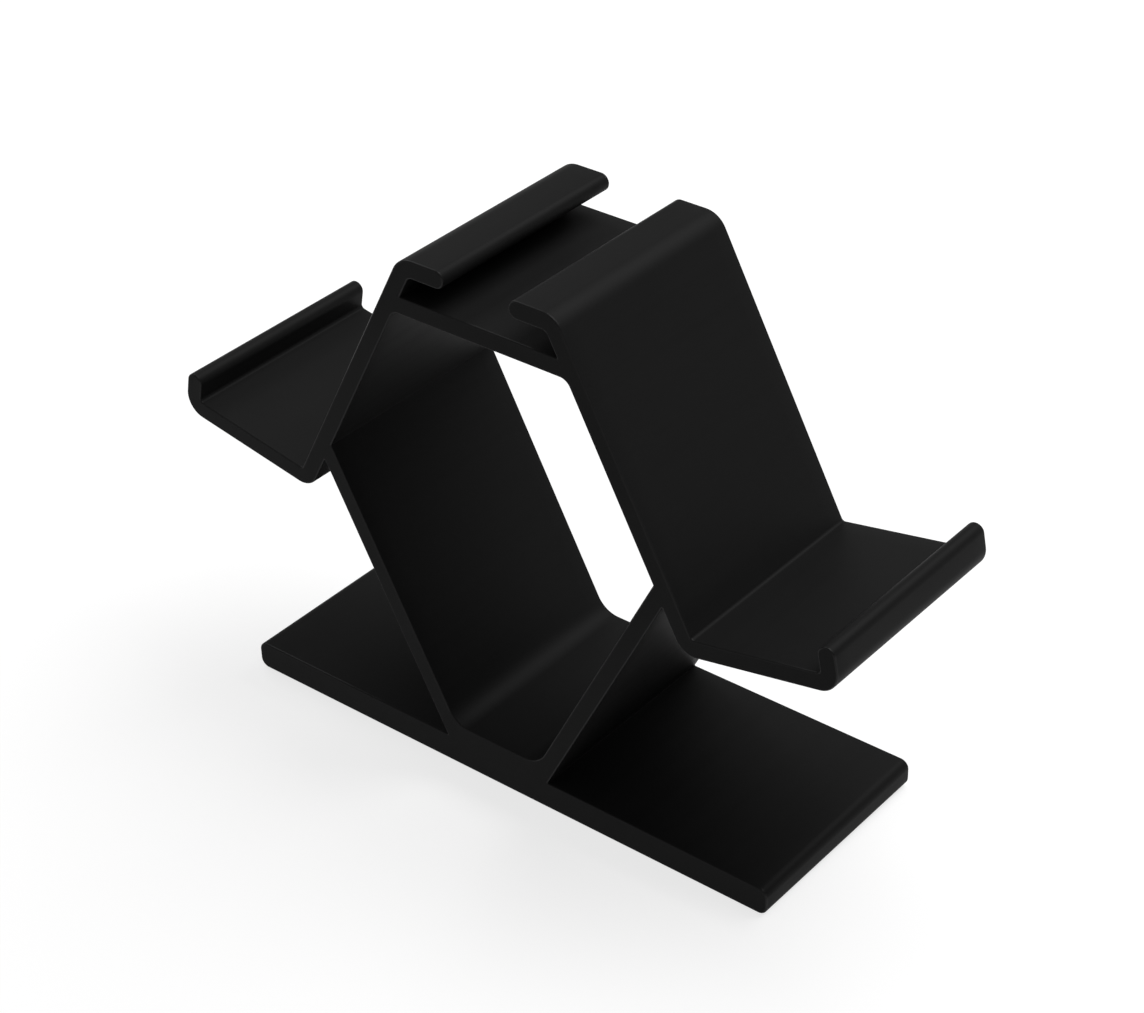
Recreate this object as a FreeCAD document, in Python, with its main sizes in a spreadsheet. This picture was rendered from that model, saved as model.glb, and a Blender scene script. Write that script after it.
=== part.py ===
import FreeCAD, Part
import os
import Sketcher

# A desk stand with two cradles back to back, made in one piece of plastic.
# One section is carried straight across the width: a base plate, a closed six-sided ring standing
# on it, and two cradles that share the ring's upper sides. The rear half is drawn and mirrored.
# +X is across the width, +Y points to the rear, +Z is up, and the origin is the middle of the underside.

# Driving dimensions, in millimetres.
SIZES = {
    "width": 55.0,  # whole stand, along X
    "height": 127.8,  # top of the hooks above the table
    "wall": 4.2,  # ring and cradles
    "base_length": 148.2,  # nose to nose, along Y
    "base_thickness": 6.9,
    "nose_round": 2.2,  # upper and lower edge of the base's noses
    "waist_height": 73.2,  # widest corners of the ring above the table
    "window_width": 89.0,  # clear width of the ring at its waist
    "foot_round": 6.5,  # inside corners where the ring stands on the base
    "plate_round": 2.8,  # inside corners under the top plate
    "hook_slot": 5.3,  # clear height between the top plate and a hook
    "hook_gap": 17.3,  # clear width between the two hooks
    "hook_length": 8.7,  # from the middle of a hook's rounded end to the corner of hook and back plate
    "hook_bend": 3.7,  # radius at the middle of the wall, as for the other bends
    "shelf_drop": 11.9,  # from the waist down to the corner of back plate and shelf
    "shelf_length": 35.6,  # from that corner to the corner of shelf and lip
    "shelf_bend": 3.0,
    "lip_height": 6.4,  # from the corner of shelf and lip to the middle of the lip's rounded end
    "lip_bend": 3.0,
    "end_round": 0.4,  # edges of the two end faces
}
# Driving angles, in degrees.
ANGLES = {
    "lean": 27.6,  # arms of the ring, from upright
    "shelf_rise": 10.7,  # slope of a shelf, up towards its lip
}

# Codes that a sketch uses for the two ends of an edge and for its own origin.
START, END = 1, 2
ORIGIN = -1

Vector = FreeCAD.Vector
doc = FreeCAD.newDocument("controller_stand")
sheet = doc.addObject("Spreadsheet::Sheet", "sizes")
for row, (size, value) in enumerate({**SIZES, **ANGLES}.items(), start=1):
    sheet.set(f"A{row}", size)
    sheet.set(f"B{row}", str(value))
    sheet.setAlias(f"B{row}", size)
doc.recompute()

# Places that several outlines share, as expressions on the sheet.
LEAN = "(sizes.lean * 1 deg)"
RISE = "(sizes.shelf_rise * 1 deg)"
HALF_WINDOW = "(sizes.window_width / 2)"
FOOT_TOP = "(sizes.base_thickness + sizes.wall)"
PLATE_TOP = "(sizes.height - sizes.wall - sizes.hook_slot)"
PLATE_UNDER = f"({PLATE_TOP} - sizes.wall)"
SHELF_UP = "(sizes.waist_height - sizes.shelf_drop)"
HOOK_UP = "(sizes.height - sizes.wall / 2)"
HOOK_END = "((sizes.hook_gap + sizes.wall) / 2)"
HOOK_CORNER = f"({HOOK_END} + sizes.hook_length)"

# A back plate leans so that its inner side starts at the window's waist and the middle of its wall
# reaches the hook's corner.
BACK_IN = f"({HALF_WINDOW} - {HOOK_CORNER})"
BACK_UP = f"({HOOK_UP} - sizes.waist_height)"
BACK_LEAN = f"(atan({BACK_IN} / {BACK_UP}) + asin(sizes.wall / 2 / hypot({BACK_IN}; {BACK_UP})))"
BACK_MIDDLE = f"(sizes.wall / 2 / cos({BACK_LEAN}))"

# The outer side of an arm runs up to the joint, where it meets the middle of the back plate.
ARM_ACROSS = f"(sizes.wall / cos({LEAN}))"
JOINT_UP = f"(sizes.waist_height - ({ARM_ACROSS} - {BACK_MIDDLE}) / (tan({LEAN}) + tan({BACK_LEAN})))"


def section_sketch(name):
    """Starts a sketch on the section plane, with its x along Y and its y along Z."""
    sketch = doc.addObject("Sketcher::SketchObject", name)
    turn = FreeCAD.Rotation(Vector(0, 1, 0), Vector(0, 0, 1), Vector(1, 0, 0), "ZXY")
    sketch.Placement = FreeCAD.Placement(Vector(0, 0, 0), turn)
    return sketch


def bind(sketch, kind, *elements, to):
    """Adds a dimension that follows an expression on the sheet."""
    index = sketch.addConstraint(Sketcher.Constraint(kind, *elements, sketch.evalExpression(to)))
    sketch.setExpression(f"Constraints[{index}]", to)


def bind_place(sketch, point, across, up):
    """Dimensions a point of the sketch from the origin."""
    bind(sketch, "DistanceX", ORIGIN, START, *point, to=across)
    bind(sketch, "DistanceY", ORIGIN, START, *point, to=up)


def draw(name, corners, closed):
    """Draws straight lines through corners that are given as expressions, across and up.

    A corner with a third entry is rounded to the size that it names, and its sharp point is kept for
    the dimensions.
    """
    sketch = section_sketch(name)
    places = [Vector(*[sketch.evalExpression(place) for place in corner[:2]]) for corner in corners]
    following = places[1:] + places[:1] if closed else places[1:]
    lines = [sketch.addGeometry(Part.LineSegment(*ends)) for ends in zip(places, following)]
    next_lines = lines[1:] + lines[:1] if closed else lines[1:]
    for line, next_line in zip(lines, next_lines):
        sketch.addConstraint(Sketcher.Constraint("Coincident", line, END, next_line, START))

    points = [(line, START) for line in lines]
    if not closed:
        points.append((lines[-1], END))
    arcs = []
    for number, corner in enumerate(corners):
        for size in corner[2:]:
            sketch.fillet(*points[number], getattr(sheet, size), True, True)
            sharp_point = sketch.GeometryCount - 1
            points[number] = (sharp_point, START)
            arcs.append((sharp_point - 1, size))

    for point, corner in zip(points, corners):
        bind_place(sketch, point, *corner[:2])
    for arc, size in arcs:
        bind(sketch, "Radius", arc, to=f"sizes.{size}")
    return sketch


def carry_across(name, outline):
    """Extrudes an outline over the stand's width, half to each side of the middle."""
    block = doc.addObject("Part::Extrusion", name)
    block.Base = outline
    block.DirMode = "Normal"
    block.Solid = True
    block.Symmetric = True
    block.setExpression("LengthFwd", "sizes.width")
    return block


def make_base():
    """Rear half of the base plate: a flat bar with rounded edges at its nose."""
    nose = "(sizes.base_length / 2)"
    corners = [
        ("0", "0"),
        (nose, "0", "nose_round"),
        (nose, "sizes.base_thickness", "nose_round"),
        ("0", "sizes.base_thickness"),
    ]
    return carry_across("base", draw("base_outline", corners, closed=True))


def arm_at(up):
    """The inner side of an arm at a height, as a distance from the middle."""
    return f"({HALF_WINDOW} - (sizes.waist_height - {up}) * tan({LEAN}))"


def back_at(up):
    """The inner side of a back plate at a height, as a distance from the middle."""
    return f"({HALF_WINDOW} - ({up} - sizes.waist_height) * tan({BACK_LEAN}))"


def make_ring():
    """Rear half of the ring: a flat foot on the base, an arm, a back plate and the top plate."""
    outside = [
        ("0", "sizes.base_thickness"),
        (f"{arm_at('sizes.base_thickness')} + {ARM_ACROSS}", "sizes.base_thickness"),
        (f"{back_at(JOINT_UP)} + {BACK_MIDDLE}", JOINT_UP),
        (f"{back_at(PLATE_TOP)} + {BACK_MIDDLE}", PLATE_TOP),
        ("0", PLATE_TOP),
    ]
    inside = [
        ("0", FOOT_TOP),
        (arm_at(FOOT_TOP), FOOT_TOP, "foot_round"),
        (HALF_WINDOW, "sizes.waist_height"),
        (back_at(PLATE_UNDER), PLATE_UNDER, "plate_round"),
        ("0", PLATE_UNDER),
    ]
    ring = doc.addObject("Part::Cut", "ring")
    ring.Base = carry_across("ring_block", draw("ring_outline", outside, closed=True))
    ring.Tool = carry_across("window", draw("window_outline", inside, closed=True))
    return ring


def make_cradle():
    """The cradle: one wall from the hook down the back plate, out along the shelf and up the lip.

    The path is the middle of the wall, and the wall ends in full rounds.
    """
    shelf_across = f"{back_at(SHELF_UP)} + {BACK_MIDDLE}"
    lip_across = f"{shelf_across} + sizes.shelf_length * cos({RISE})"
    lip_up = f"{SHELF_UP} + sizes.shelf_length * sin({RISE})"
    corners = [
        (HOOK_END, HOOK_UP),
        (HOOK_CORNER, HOOK_UP, "hook_bend"),
        (shelf_across, SHELF_UP, "shelf_bend"),
        (lip_across, lip_up, "lip_bend"),
        (f"{lip_across} - sizes.lip_height * sin({RISE})", f"{lip_up} + sizes.lip_height * cos({RISE})"),
    ]
    wall = doc.addObject("Part::Offset2D", "cradle_outline")
    wall.Source = draw("cradle_path", corners, closed=False)
    wall.Mode = "Pipe"
    wall.Join = "Arc"
    wall.setExpression("Value", "sizes.wall / 2")
    return carry_across("cradle", wall)


def make_block():
    """Joins the pieces of the rear half, mirrors them to the front and joins both into one solid."""
    rear = doc.addObject("Part::MultiFuse", "rear_half")
    rear.Shapes = [make_base(), make_ring(), make_cradle()]
    front = doc.addObject("Part::Mirroring", "front_half")
    front.Source = rear
    front.Normal = Vector(0, 1, 0)
    block = doc.addObject("Part::MultiFuse", "block")
    block.Shapes = [rear, front]
    block.Refine = True
    return block


def make_stand():
    """Rounds the edges of the block's two end faces, which are all its edges that do not run across."""
    block = make_block()
    doc.recompute()
    stand = doc.addObject("Part::Fillet", "stand")
    stand.Base = block
    stand.Edges = [
        (number, sheet.end_round, sheet.end_round)
        for number, edge in enumerate(block.Shape.Edges, start=1)
        if edge.BoundBox.XLength < sheet.end_round
    ]
    return stand


def check(part):
    """Stops if an object failed to build or the part is not one sound solid."""
    for item in doc.Objects:
        if "Invalid" in item.State or "Error" in item.State:
            raise RuntimeError(f"{item.Name} failed: {item.State}")
    if part.Shape.isNull() or not part.Shape.isValid() or len(part.Shape.Solids) != 1:
        raise RuntimeError(f"{part.Label} is not one sound solid")


stand = make_stand()
doc.recompute()
check(stand)
os.makedirs("parts", exist_ok=True)
stand.Shape.exportStep(f"parts/{stand.Label}.step")
print(stand.Label, "volume", round(stand.Shape.Volume), "mm3, size", stand.Shape.BoundBox)
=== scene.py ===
import math

import bmesh
import bpy
import numpy as np
from mathutils import Matrix, Vector


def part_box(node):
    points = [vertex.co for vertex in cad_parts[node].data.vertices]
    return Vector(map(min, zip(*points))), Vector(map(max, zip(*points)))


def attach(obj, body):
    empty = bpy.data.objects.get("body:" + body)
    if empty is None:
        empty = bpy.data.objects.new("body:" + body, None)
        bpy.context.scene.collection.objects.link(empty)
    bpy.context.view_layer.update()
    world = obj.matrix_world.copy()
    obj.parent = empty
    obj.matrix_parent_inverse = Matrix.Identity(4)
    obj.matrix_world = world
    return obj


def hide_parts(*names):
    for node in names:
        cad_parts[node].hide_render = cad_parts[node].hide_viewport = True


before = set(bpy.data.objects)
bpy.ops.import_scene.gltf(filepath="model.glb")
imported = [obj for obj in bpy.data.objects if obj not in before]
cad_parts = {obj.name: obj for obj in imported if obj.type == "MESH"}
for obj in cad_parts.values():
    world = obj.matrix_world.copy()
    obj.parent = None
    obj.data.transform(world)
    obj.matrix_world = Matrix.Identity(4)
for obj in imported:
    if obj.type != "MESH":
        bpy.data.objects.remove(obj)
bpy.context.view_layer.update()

# The stand, moulded in one piece of black satin plastic.
# One profile runs straight across the width: a base plate, a six-sided ring standing on it and two
# cradles that grow out of the ring's upper sides. The edges of the two end faces are slightly rounded.
stand_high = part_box("stand")[1]
half_width = stand_high.x
height = stand_high.z
half_wall = 0.0021
wall = 2 * half_wall
base_half_length = 0.0741
base_thickness = 0.0069
nose_round = 0.0022
arm_lean = math.radians(27.6)
waist_height = 0.0732
half_window = 0.0445
foot_round = 0.0065
plate_round = 0.0028
hook_slot = 0.0053
half_hook_gap = 0.00865
hook_length = 0.0087
hook_bend = 0.0037
shelf_drop = 0.0119
shelf_length = 0.0356
shelf_rise = math.radians(10.7)
shelf_bend = 0.003
lip_height = 0.0064
lip_bend = 0.003
inside_corner = 0.00012
end_round = 0.0004
arc_steps = 17
round_steps = 7
middle_steps = 13
longest_cell = 0.004
shortest_run = 1e-8


def parallel(path, distance):
    """An open path moved to its left by a distance.

    Points are y + z i. A corner moves along the mean of its two runs' unit normals, by the distance
    over the squared length of that mean, so that both runs stay parallel to where they were.
    """
    runs = np.diff(path)
    normals = 1j * runs / abs(runs)
    mean = (np.append(normals[:1], normals) + np.append(normals, normals[-1:])) / 2
    return path + distance * mean / abs(mean) ** 2


def rounded(corners, radii):
    """A closed outline whose corners are replaced by arcs that touch both sides.

    The turn is the angle between the directions into and out of a corner. An arc starts the radius
    times the tangent of half the turn before its corner, and its points are that start turned about
    the arc's centre by equal shares of the turn. Long straight runs are then cut into equal cells.
    """
    into = corners - np.roll(corners, 1)
    into = into / abs(into)
    turn = np.angle(np.roll(into, -1) / into)
    start = corners - into * radii * np.tan(abs(turn) / 2)
    centre = start + 1j * into * radii * np.sign(turn)
    shares = np.linspace(0, 1, arc_steps)
    points = (centre[:, None] + (start - centre)[:, None] * np.exp(1j * turn[:, None] * shares)).ravel()
    points = points[abs(np.roll(points, -1) - points) > shortest_run]
    runs = np.roll(points, -1) - points
    cells = np.ceil(abs(runs) / longest_cell).astype(int)
    owner = np.repeat(np.arange(len(points)), cells)
    place = np.arange(len(owner)) - np.repeat(np.cumsum(cells) - cells, cells)
    return points[owner] + runs[owner] * place / cells[owner]


def closed_outline(half):
    """The whole rounded outline of a rear half, which is listed as corners with their radii.

    The half is followed by its mirror image in reverse.
    """
    corners, radii = np.array(half).T
    return rounded(np.append(corners, -corners.conj()[::-1]), np.append(radii, radii[::-1]).real)


window_waist = half_window + 1j * waist_height
hook_end = half_hook_gap + half_wall + 1j * (height - half_wall)
hook_corner = hook_end + hook_length
to_hook = hook_corner - window_waist
back_lean = math.atan2(-to_hook.real, to_hook.imag) + math.asin(half_wall / abs(to_hook))


def arm_side(up):
    """The inner side of an arm at a height: it leans in from the waist downwards."""
    return half_window - (waist_height - up) * math.tan(arm_lean) + 1j * up


def back_side(up):
    """The inner side of a back plate at a height: it leans in from the waist upwards."""
    return half_window - (up - waist_height) * math.tan(back_lean) + 1j * up


shelf_direction = np.exp(1j * shelf_rise)
shelf_corner = back_side(waist_height - shelf_drop) + half_wall / math.cos(back_lean)
lip_corner = shelf_corner + shelf_length * shelf_direction
cradle_path = np.array([
    hook_end - half_wall,
    hook_corner,
    shelf_corner,
    lip_corner,
    lip_corner + 1j * (lip_height + half_wall) * shelf_direction,
])
seat_hook_end, seat_hook, seat_shelf, seat_lip, seat_lip_end = parallel(cradle_path, half_wall)
ring_hook_end, ring_hook, ring_shelf, ring_lip, ring_lip_end = parallel(cradle_path, -half_wall)

arm_across = wall / math.cos(arm_lean)
arm_joint = back_side(waist_height - arm_across / (math.tan(arm_lean) + math.tan(back_lean)))
plate_top = height - wall - hook_slot
outer_half = [
    (base_half_length, nose_round),
    (base_half_length + 1j * base_thickness, nose_round),
    (arm_side(base_thickness) + arm_across, inside_corner),
    (arm_joint, inside_corner),
    (ring_shelf, shelf_bend + half_wall),
    (ring_lip, lip_bend + half_wall),
    (ring_lip_end, half_wall),
    (seat_lip_end, half_wall),
    (seat_lip, lip_bend - half_wall),
    (seat_shelf, shelf_bend - half_wall),
    (seat_hook, hook_bend + half_wall),
    (seat_hook_end, half_wall),
    (ring_hook_end, half_wall),
    (ring_hook, hook_bend - half_wall),
    (back_side(plate_top), inside_corner),
]
window_half = [
    (back_side(plate_top - wall), plate_round),
    (window_waist, inside_corner),
    (arm_side(base_thickness + wall), foot_round),
]
outlines = [closed_outline(outer_half), closed_outline(window_half)]

round_angles = np.linspace(math.pi / 2, 0, round_steps)
end_places = end_round * (1 - np.sin(round_angles)) - half_width
end_insets = end_round * (1 - np.cos(round_angles))
middle_places = np.linspace(end_places[-1], -end_places[-1], middle_steps)[1:-1]
places = np.concatenate([end_places, middle_places, -end_places[::-1]])
insets = np.concatenate([end_insets, np.zeros(len(middle_places)), end_insets[::-1]])


def carried_across(outline):
    """The outline carried across the width, as a grid of places by points.

    At each place every point is moved into the plastic, square to the outline, by the inset there,
    which follows a quarter circle at the two ends.
    """
    along = np.roll(outline, -1) - np.roll(outline, 1)
    section = outline + insets[:, None] * 1j * along / abs(along)
    across = np.broadcast_to(places[:, None], section.shape)
    return np.stack([across, section.real, section.imag], axis=-1)


def grid_faces(rows, columns, first):
    """Quads of a grid whose columns close into a loop, counted from its first vertex."""
    row, column = np.meshgrid(np.arange(rows - 1), np.arange(columns), indexing="ij")
    following = (column + 1) % columns
    corners = [row * columns + column, row * columns + following]
    corners += [(row + 1) * columns + following, (row + 1) * columns + column]
    return first + np.stack(corners, axis=-1).reshape(-1, 4)


grids = [carried_across(outline) for outline in outlines]
firsts = [0, grids[0].shape[0] * grids[0].shape[1]]
side_faces = np.concatenate([grid_faces(*grid.shape[:2], first) for grid, first in zip(grids, firsts)])
vertices = np.concatenate([grid.reshape(-1, 3) for grid in grids])
mesh = bpy.data.meshes.new("moulded_stand")
mesh.from_pydata(vertices, [], side_faces)
mesh.shade_smooth()

# The two flat ends are filled in between the open edges of the outer outline and of the window.
shell = bmesh.new()
shell.from_mesh(mesh)
open_edges = [edge for edge in shell.edges if edge.is_boundary]
for side in (-1, 1):
    end_loops = [edge for edge in open_edges if edge.verts[0].co.x * side > 0]
    bmesh.ops.triangle_fill(shell, use_beauty=True, edges=end_loops, normal=(side, 0, 0))
shell.to_mesh(mesh)
shell.free()
stand = bpy.data.objects.new("moulded_stand", mesh)
bpy.context.scene.collection.objects.link(stand)


class Shade:
    """A socket of a node tree, so that shader maths is written as Python sums."""

    def __init__(self, tree, socket=None):
        self.tree = tree
        self.socket = socket

    def node(self, kind, settings=None, inputs=None, output=0):
        """Adds a node: first its settings, then a value or a link for each named socket."""
        made = self.tree.nodes.new(kind)
        for name, value in (settings or {}).items():
            setattr(made, name, value)
        for name, value in (inputs or {}).items():
            if isinstance(value, Shade):
                self.tree.links.new(value.socket, made.inputs[name])
            else:
                made.inputs[name].default_value = value
        return Shade(self.tree, made.outputs[output])

    def other(self, output):
        """Another output of the same node."""
        return Shade(self.tree, self.socket.node.outputs[output])

    def reckon(self, operation, first, second=0.0):
        """Adds a Math node; an operation on one value ignores the second."""
        return self.node("ShaderNodeMath", {"operation": operation}, {0: first, 1: second})

    def __add__(self, other):
        return self.reckon("ADD", self, other)

    __radd__ = __add__

    def __mul__(self, other):
        return self.reckon("MULTIPLY", self, other)

    __rmul__ = __mul__


def new_material(name):
    """An empty material: its node tree as a Shade, and the output that its surface goes to."""
    material = bpy.data.materials.new(name)
    material.use_nodes = True
    material.node_tree.nodes.clear()
    output = material.node_tree.nodes.new("ShaderNodeOutputMaterial")
    return material, Shade(material.node_tree), output


# The plastic is black, with streaks along the width and soft clouds in its tone and gloss, and a relief
# of fine grain, slight waves and the streaks. The relief is in metres, so the bump's own scale is 1.
plastic_black = 0.0115
streak_tone = 0.2
cloud_tone = 0.16
least_roughness = 0.4
streak_roughness = 0.1
cloud_roughness = 0.1
specular_level = 0.047
streak_length = 0.11
streak_width = 0.003
streak_detail = 3.0
streak_relief = 0.000004
cloud_size = 0.018
cloud_detail = 3.0
wave_size = 0.014
wave_detail = 1.0
wave_relief = 0.00003
grain_size = 0.0004
grain_detail = 2.0
grain_relief = 0.000012
rim_gloss = 0.22
rim_roughness = 0.2
end_skin = 0.00001
plastic, tree, output = new_material("satin_black_plastic")
position = tree.node("ShaderNodeTexCoord", output="Object")
streak_position = tree.node("ShaderNodeMapping", inputs={
    "Vector": position, "Scale": (1 / streak_length, 1 / streak_width, 1 / streak_width),
})


def noise(at, detail, size=1.0):
    """Soft noise between 0 and 1 whose largest lumps are about a size across."""
    return tree.node("ShaderNodeTexNoise", inputs={"Vector": at, "Scale": 1 / size, "Detail": detail})


streaks = noise(streak_position, streak_detail)
clouds = noise(position, cloud_detail, cloud_size)
waves = noise(position, wave_detail, wave_size)
grain = noise(position, grain_detail, grain_size)
even_tone = 1 - (streak_tone + cloud_tone) / 2
tone = plastic_black * (even_tone + streak_tone * streaks + cloud_tone * clouds)
relief = grain_relief * grain + wave_relief * waves + streak_relief * streaks

# The rims round the ends are glossier, from where their rounding starts to just short of the flat ends.
across = tree.node("ShaderNodeSeparateXYZ", inputs={"Vector": position}, output="X")
from_middle = tree.reckon("ABSOLUTE", across)
past_start = tree.reckon("GREATER_THAN", from_middle, half_width - end_round)
before_end = tree.reckon("LESS_THAN", from_middle, half_width - end_skin)
surface = tree.node("ShaderNodeBsdfPrincipled", inputs={
    "Base Color": tone,
    "Roughness": least_roughness + streak_roughness * streaks + cloud_roughness * clouds,
    "Normal": tree.node("ShaderNodeBump", inputs={"Height": relief, "Strength": 1.0, "Distance": 1.0}),
    "Specular IOR Level": specular_level,
    "Coat Weight": rim_gloss * past_start * before_end,
    "Coat Roughness": rim_roughness,
})
plastic.node_tree.links.new(surface.socket, output.inputs["Surface"])
mesh.materials.append(plastic)
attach(stand, "root")
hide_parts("stand")

# The floor, a plain white sheet much larger than the picture, turned up all round into a low backdrop.
# It takes the stand's soft shadow, and is lifted to white where it is seen or mirrored.
# Its rings follow a quarter circle out and up from the flat middle, and the last one stands above it.
floor_radius = 5.5
backdrop_bend = 0.5
backdrop_height = 1.0
bend_steps = 13
sectors = 96
floor_drop = 0.00005
floor_white = 0.36
floor_lift = 0.74
bend_angles = np.linspace(0, math.pi / 2, bend_steps)
ring_radii = floor_radius + backdrop_bend * np.append(np.sin(bend_angles), 1)
ring_heights = np.append(backdrop_bend * (1 - np.cos(bend_angles)), backdrop_height)
sector_angles = np.linspace(0, 2 * math.pi, sectors, endpoint=False)
rings = ring_radii[:, None] * np.exp(1j * sector_angles)
rings_up = np.broadcast_to(ring_heights[:, None], rings.shape)
floor_points = np.stack([rings.real, rings.imag, rings_up], axis=-1).reshape(-1, 3)
floor_faces = [list(range(sectors))] + grid_faces(*rings.shape, 0).tolist()
floor_mesh = bpy.data.meshes.new("floor")
floor_mesh.from_pydata(floor_points, [], floor_faces)
floor = bpy.data.objects.new("floor", floor_mesh)
floor.location.z = -floor_drop
bpy.context.scene.collection.objects.link(floor)
paper, tree, output = new_material("white_floor")
seen = tree.node("ShaderNodeLightPath", output="Is Camera Ray")
lifted = seen + seen.other("Is Glossy Ray") + seen.other("Is Transmission Ray")
matt = tree.node("ShaderNodeBsdfDiffuse", inputs={"Color": (floor_white, floor_white, floor_white, 1)})
glow = tree.node("ShaderNodeEmission", inputs={"Color": (1, 1, 1, 1), "Strength": floor_lift})
bright = tree.node("ShaderNodeAddShader", inputs={0: matt, 1: glow})
sheet = tree.node("ShaderNodeMixShader", inputs={0: lifted, 1: matt, 2: bright})
paper.node_tree.links.new(sheet.socket, output.inputs["Surface"])
floor_mesh.materials.append(paper)

# The light: a large soft box above the front right of the stand and a smaller one to its rear, in an
# even pale room. Both are plain squares that face the middle of the stand.
room = 0.22
world = bpy.data.worlds.new("pale_room")
world.use_nodes = True
world.node_tree.nodes["Background"].inputs["Color"].default_value = (room, room, room, 1)
bpy.context.scene.world = world
softbox_aim = Vector((0.0, 0.0, height / 2))


def hang_softbox(name, place, size, radiance):
    """A square light at a place; its power is the radiance times pi times its area."""
    light = bpy.data.lights.new(name, "AREA")
    light.shape = "SQUARE"
    light.size = size
    light.energy = radiance * math.pi * size ** 2
    softbox = bpy.data.objects.new(name, light)
    softbox.location = place
    softbox.rotation_euler = (softbox_aim - place).to_track_quat("-Z", "Y").to_euler()
    bpy.context.scene.collection.objects.link(softbox)


hang_softbox("front_softbox", place=Vector((0.52, -0.22, 1.0)), size=0.9, radiance=4.0)
hang_softbox("rear_softbox", place=Vector((0.28, 0.8, 0.76)), size=0.6, radiance=2.0)

# The camera, at the photograph's place: to the left of the front, looking down.
image_width = 1144
focal_pixels = 2755.3
camera_place = Vector((-0.3896, -0.32334, 0.3952))
azimuth = math.radians(-50.4065)
elevation = math.radians(33.4889)
roll = math.radians(-1.5376)
camera_data = bpy.data.cameras.new("camera")
camera_data.lens = focal_pixels / image_width * camera_data.sensor_width
camera = bpy.data.objects.new("camera", camera_data)
level_back = Vector((math.sin(azimuth), -math.cos(azimuth), 0))
back = math.cos(elevation) * level_back + Vector((0, 0, math.sin(elevation)))
level_right = Vector((math.cos(azimuth), math.sin(azimuth), 0))
right = math.cos(roll) * level_right + math.sin(roll) * back.cross(level_right)
orientation = Matrix((right, back.cross(right), back)).transposed()
camera.matrix_world = Matrix.Translation(camera_place) @ orientation.to_4x4()
bpy.context.scene.collection.objects.link(camera)
bpy.context.scene.camera = camera
bpy.context.scene.view_settings.view_transform = "Standard"
